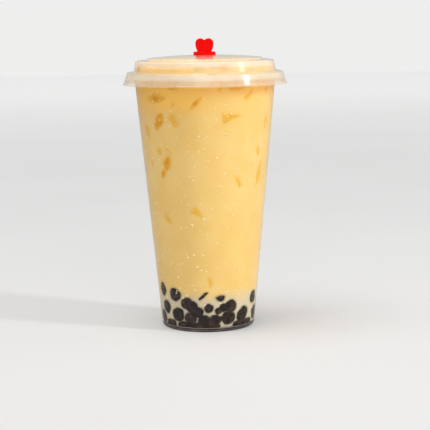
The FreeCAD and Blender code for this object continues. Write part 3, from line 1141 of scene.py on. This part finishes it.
@dataclass
class Drink:
    """The smoothie, from the cup's floor to its surface under the lid."""

    node: str = "drink"
    columns: int = 400
    fine_top: float = 31 * MM
    fine_row: float = 0.42 * MM
    row: float = 0.95 * MM
    top_rings: int = 20
    ripple: float = 0.45 * MM
    settled: float = 3 * MM
    reach: float = 3 * MM
    floor_edge: float = 0.5 * MM
    shade_margin: float = 4 * MM
    shade_fade: float = 0.3 * MM
    side_shade: float = 0.6
    floor_fade: float = 1.2 * MM
    glow_gap: float = 0.08 * MM
    glow_fade: float = 0.4 * MM

    def profile(self) -> tuple[np.ndarray, np.ndarray]:
        """Radius and height of each row, from near the axis at the floor to near the axis on top."""
        bottom = VESSEL.floor - DRINK_REACH
        corner_top = VESSEL.floor + VESSEL.floor_round
        floor_radii = np.linspace(0.5 * MM, float(VESSEL.inner(bottom)) - VESSEL.floor_round, 14)
        rows = round((VESSEL.drink_top - self.fine_top) / self.row)
        heights = np.concatenate((
            bottom + (corner_top - bottom) * (1 - np.cos(np.linspace(0.2, math.pi / 2, 5))),
            np.arange(corner_top + self.fine_row, self.fine_top, self.fine_row),
            np.linspace(self.fine_top, VESSEL.drink_top, rows)))
        wall_radii = VESSEL.inner(heights) - VESSEL.corner(heights) + DRINK_REACH
        top_radii = wall_radii[-1] * (1 - np.linspace(0, 1, self.top_rings + 1)[1:-1])
        radii = np.concatenate((floor_radii, wall_radii, top_radii))
        tops = np.full(len(top_radii), VESSEL.drink_top)
        return radii, np.concatenate((np.full(len(floor_radii), bottom), heights, tops))

    def shape(self) -> tuple[np.ndarray, list]:
        """Points and faces of the drink, with the rows closed at the axis and a level top."""
        radii, heights = self.profile()
        points, quads = lathe(radii, heights, self.columns)
        count = len(points)
        last = count - self.columns
        steps = [(i, (i + 1) % self.columns) for i in range(self.columns)]
        faces = [tuple(quad) for quad in quads.tolist()]
        faces += [(after, count, i) for i, after in steps]
        faces += [(last + i, last + after, count + 1) for i, after in steps]
        return np.vstack((points, (0, 0, heights[0]), (0, 0, heights[-1]))), faces

    def waves(self, points: np.ndarray) -> np.ndarray:
        """Lift of the top at each point, settling to nothing at the wall.

        Args:
            points: Points as rows.

        Returns:
            The lifts.
        """
        x, y = points[:, 0] * 1000, points[:, 1] * 1000
        wave = (np.sin(0.31 * x + 1.1) * np.cos(0.27 * y) + 0.6 * np.sin(0.7 * y + 0.4 * x)
                + 0.3 * np.cos(1.3 * x - y))
        to_wall = VESSEL.inner(VESSEL.drink_top) - np.hypot(points[:, 0], points[:, 1])
        return wave * np.clip(to_wall / self.settled, 0, 1) * self.ripple / 2

    def near(self, points: np.ndarray, thing: Mesh) -> tuple[np.ndarray, np.ndarray]:
        """Distance from points to the nearest surface of a mesh, and the number of a corner there.

        Args:
            points: Points as rows.
            thing: The mesh.

        Returns:
            The distances, at most the reach, and a corner's vertex number for each.
        """
        tree = surface_tree(thing)
        found = np.full(len(points), self.reach)
        corners = np.zeros(len(points), int)
        for i, point in enumerate(points):
            face, distance = tree.find_nearest(point, self.reach)[2:]
            if distance is not None:
                found[i] = distance
                corners[i] = thing.polygons[face].vertices[0]
        return found, corners

    def pearl_shade(self, points: np.ndarray, side: np.ndarray, pearls: Mesh) -> np.ndarray:
        """How much the pearls show through the drink at each point.

        Args:
            points: Points as rows.
            side: Which points are on the drink's side.
            pearls: The pearls' mesh.

        Returns:
            The shares, 0 to 1.
        """
        low = side & (points[:, 2] < self.fine_top + self.shade_margin)
        floor = points[:, 2] <= VESSEL.floor + self.floor_edge
        shade = np.zeros(len(points))
        places = ((low, self.shade_fade, self.side_shade), (floor, self.floor_fade, 1.0))
        for chosen, fade, strength in places:
            gap = self.near(points[chosen], pearls)[0]
            shade[chosen] = strength * np.exp(-np.maximum(gap - DRINK_REACH, 0) / fade)
        return shade

    def ice_glow(self, points: np.ndarray, side: np.ndarray, ice: Mesh) -> np.ndarray:
        """How much amber ice shows through the drink at each point.

        Args:
            points: Points as rows.
            side: Which points are on the drink's side.
            ice: The ice's mesh.

        Returns:
            The shares, 0 to 1.
        """
        gap, corner = self.near(points[side], ice)
        ambers = np.zeros(len(ice.vertices))
        ice.attributes["amber"].data.foreach_get("value", ambers)
        fade = np.exp(-np.maximum(gap - self.glow_gap, 0) / self.glow_fade)
        glow = np.zeros(len(points))
        glow[side] = fade * np.clip(1.3 * ambers[corner], 0, 1)
        return glow

    def build(self, pearls: bpy.types.Object, ice: bpy.types.Object) -> bpy.types.Object:
        """Makes the drink and marks where pearls and ice show through it.

        Args:
            pearls: The pearls' object.
            ice: The ice's object.

        Returns:
            The drink's object.
        """
        points, faces = self.shape()
        on_top = points[:, 2] > VESSEL.drink_top - 1e-6
        points[:, 2] += np.where(on_top, self.waves(points), 0)
        mesh = mesh_from("smoothie", points, faces)
        side = (points[:, 2] > VESSEL.floor + self.floor_edge) & ~on_top
        for name, values in (("pearl_shade", self.pearl_shade(points, side, pearls.data)),
                             ("ice_glow", self.ice_glow(points, side, ice.data))):
            mesh.attributes.new(name, "FLOAT", "POINT").data.foreach_set("value", values)
        piece = place_piece("golden_drink", mesh, Smoothie())
        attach(piece, BODY)
        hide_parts(self.node)
        return piece


@dataclass
class WallScatter:
    """Small bits spread over the cup's wall, by a tree that sets one on each random point."""

    name: str
    finish: Finish
    slot: str
    density: float
    smallest: float
    largest: float
    rarity: float
    flatness: float
    stretch: float
    seed: int
    bottom: float
    top: float
    outside: bool
    segments: int
    rings: int
    lift: float = 0.0
    columns: int = 180

    def wall(self) -> Mesh:
        """Strip of wall that the bits are spread over."""
        heights = np.linspace(self.bottom, self.top, 12)
        radii = VESSEL.outer(heights) if self.outside else VESSEL.inner(heights)
        points, quads = lathe(radii + self.lift, heights, self.columns)
        return mesh_from(self.name + "_wall", points, quads.tolist())

    def growth(self) -> Growth:
        """Tree that spreads the bits, few large and many small."""
        numbers = {"Density": self.density, "Smallest": self.smallest, "Largest": self.largest,
                   "Rarity": self.rarity, "Flatness": self.flatness, "Stretch": self.stretch}
        growth = Growth(self.name + "_scatter", {
            **{label: ("NodeSocketFloat", number) for label, number in numbers.items()},
            "Seed": ("NodeSocketInt", self.seed), "Finish": ("NodeSocketMaterial", self.finish.material())})
        tree, given = growth.tree, growth.given
        spread = tree.add("GeometryNodeDistributePointsOnFaces", {
            "Mesh": given["Geometry"], "Density": given["Density"], "Seed": given["Seed"]})
        bead = tree.add("GeometryNodeMeshUVSphere", {
            "Segments": self.segments, "Rings": self.rings, "Radius": 1.0})
        luck = tree.add("FunctionNodeRandomValue", {"Seed": given["Seed"]}, data_type="FLOAT")
        rare = tree.math("POWER", luck.outputs[1], given["Rarity"])
        span = tree.math("SUBTRACT", given["Largest"], given["Smallest"])
        size = tree.math("ADD", given["Smallest"], tree.math("MULTIPLY", rare, span))
        odd = tree.add("FunctionNodeRandomValue", {
            2: 0.8, 3: given["Stretch"], "Seed": tree.math("ADD", given["Seed"], 7)}, data_type="FLOAT")
        shape = tree.add("ShaderNodeCombineXYZ", {
            0: size, 1: tree.math("MULTIPLY", size, odd.outputs[1]),
            2: tree.math("MULTIPLY", size, given["Flatness"])})
        spin = tree.add("FunctionNodeRandomValue", {
            0: (0.0, 0.0, 0.0), 1: (0.0, 0.0, 2 * math.pi), "Seed": tree.math("ADD", given["Seed"], 3)},
            data_type="FLOAT_VECTOR")
        euler = tree.add("FunctionNodeEulerToRotation", {0: spin})
        turned = tree.add("FunctionNodeRotateRotation", {
            0: spread.outputs["Rotation"], 1: euler}, rotation_space="LOCAL")
        beads = tree.add("GeometryNodeInstanceOnPoints", {
            "Points": spread.outputs["Points"], "Instance": bead.outputs["Mesh"],
            "Rotation": turned, "Scale": shape})
        growth.finish(beads)
        return growth

    def build(self) -> bpy.types.Object:
        """Makes the bits as one piece."""
        mesh = self.growth().grow(self.name, self.wall())
        piece = place_piece(self.name, mesh)
        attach(piece, BODY)
        return piece


@dataclass
class PackedPart:
    """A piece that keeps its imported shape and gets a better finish."""

    node: str
    finish: Finish

    def dress(self) -> bpy.types.Object:
        """Puts the finish in the node's material slots."""
        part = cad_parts[self.node]
        material = self.finish.material()
        for place in part.material_slots:
            place.material = material
        return part


@dataclass(frozen=True)
class Lamp:
    """Soft rectangular light that gives a white surface facing it a level of brightness.

    The azimuth and elevation in degrees and the distance are seen from the point it is turned to.
    """

    name: str
    azimuth: float
    elevation: float
    distance: float
    width: float
    height: float
    level: float

    def build(self, aim: Vector) -> None:
        """Adds the light to the scene.

        Args:
            aim: Point that it is turned to.
        """
        data = bpy.data.lights.new(self.name, "AREA")
        data.shape = "RECTANGLE"
        data.size = self.width
        data.size_y = self.height
        data.energy = self.level * math.pi**2 * self.distance**2
        light = bpy.data.objects.new(self.name, data)
        rise = math.radians(self.elevation)
        away = outward(self.azimuth) * math.cos(rise) + Vector((0, 0, math.sin(rise)))
        light.location = aim + away * self.distance
        light.rotation_euler = away.to_track_quat("Z", "Y").to_euler()
        bpy.context.scene.collection.objects.link(light)


@dataclass
class Studio:
    """Plain pale floor, a tall soft key light on the right, a wide fill and a pale world."""

    floor_radius: float = 4.0
    floor_columns: int = 96
    world_level: float = 0.52
    seen_level: float = 0.86
    seen_colour: Colour = (1.0, 0.995, 0.99, 1.0)
    aim: tuple[float, float, float] = (0.0, 0.0, 0.09)
    lamps: tuple[Lamp, ...] = (
        Lamp("key", azimuth=64.0, elevation=30.0, distance=2.1, width=0.18, height=0.92, level=0.4),
        Lamp("fill", azimuth=4.0, elevation=20.0, distance=3.2, width=2.0, height=2.0, level=0.15),
        Lamp("top", azimuth=-60.0, elevation=75.0, distance=2.2, width=1.4, height=1.4, level=0.5),
    )

    def build(self) -> None:
        """Makes the floor, the lights and the world."""
        radii = np.array([0.0005, 0.5, 1.5, self.floor_radius])
        points, quads = lathe(radii, np.zeros(len(radii)), self.floor_columns)
        faces = [tuple(quad[::-1]) for quad in quads.tolist()] + [tuple(range(self.floor_columns))]
        floor = place_piece("floor", mesh_from("floor", points, faces), StudioFloor())
        for lamp in self.lamps:
            lamp.build(Vector(self.aim))
        world = bpy.data.worlds.new("pale_world")
        world.use_nodes = True
        world.node_tree.nodes.clear()
        tree = Tree(world.node_tree)
        lit = tree.add("ShaderNodeBackground", {"Color": WHITE, "Strength": self.world_level})
        shown = tree.add("ShaderNodeBackground", {"Color": self.seen_colour, "Strength": self.seen_level})
        mixed = tree.mix(seen_directly(tree), lit, shown)
        tree.add("ShaderNodeOutputWorld", {"Surface": mixed})
        bpy.context.scene.world = world


@dataclass
class Viewpoint:
    """The camera, a little above the lid and looking slightly down, with a long lens."""

    distance: float = 946.4 * MM
    height: float = 198.7 * MM
    look_down: float = 7.715
    look_right: float = 0.314
    roll: float = -0.8
    lens: float = 124.94
    sensor: float = 36.0

    def build(self) -> None:
        """Makes the camera and makes it the scene's."""
        data = bpy.data.cameras.new("camera")
        data.lens = self.lens
        data.sensor_width = self.sensor
        data.clip_start = 0.01
        camera = bpy.data.objects.new("camera", data)
        down, right, roll = (math.radians(a) for a in (self.look_down, self.look_right, self.roll))
        ahead = Vector((math.sin(right) * math.cos(down), math.cos(right) * math.cos(down), -math.sin(down)))
        side = Vector((math.cos(right), -math.sin(right), 0))
        up = side.cross(ahead)
        level = Matrix((side, up, -ahead)).transposed()
        turned = level @ Matrix.Rotation(roll, 3, "Z")
        camera.matrix_world = Matrix.Translation((0, -self.distance, self.height)) @ turned.to_4x4()
        bpy.context.scene.collection.objects.link(camera)
        bpy.context.scene.camera = camera


def main() -> None:
    """Builds every piece in order and reports each."""
    logging.basicConfig(level=logging.INFO, format="%(message)s")
    Viewpoint().build()
    Studio().build()
    for node, finish in (("cup", ClearPlastic()), ("lid", FrostedPlastic()), ("heart_plug", RedPlastic())):
        LOG.info("%s dressed", PackedPart(node, finish).dress().name)
    pearls = Pearls().build()
    ice = IceHeap().build()
    drink = Drink().build(pearls, ice)
    pulp = WallScatter("pineapple_bits", FruitPulp(), "smoothie", density=13000.0, smallest=0.12 * MM,
                       largest=0.46 * MM, rarity=4.0, flatness=0.22, stretch=1.6, seed=21, bottom=28 * MM,
                       top=158 * MM, outside=False, lift=0.07 * MM, segments=7, rings=4).build()
    drops = WallScatter("condensation", Water(), "clear_plastic", density=66000.0, smallest=0.13 * MM,
                        largest=0.8 * MM, rarity=4.5, flatness=0.4, stretch=1.25, seed=33, bottom=18 * MM,
                        top=153 * MM, outside=True, segments=9, rings=5).build()
    for piece in (pearls, ice, drink, pulp, drops):
        LOG.info("%s: %d faces", piece.name, len(piece.data.polygons))
    bpy.context.scene.view_settings.view_transform = "Standard"


if __name__ == "__main__":
    main()
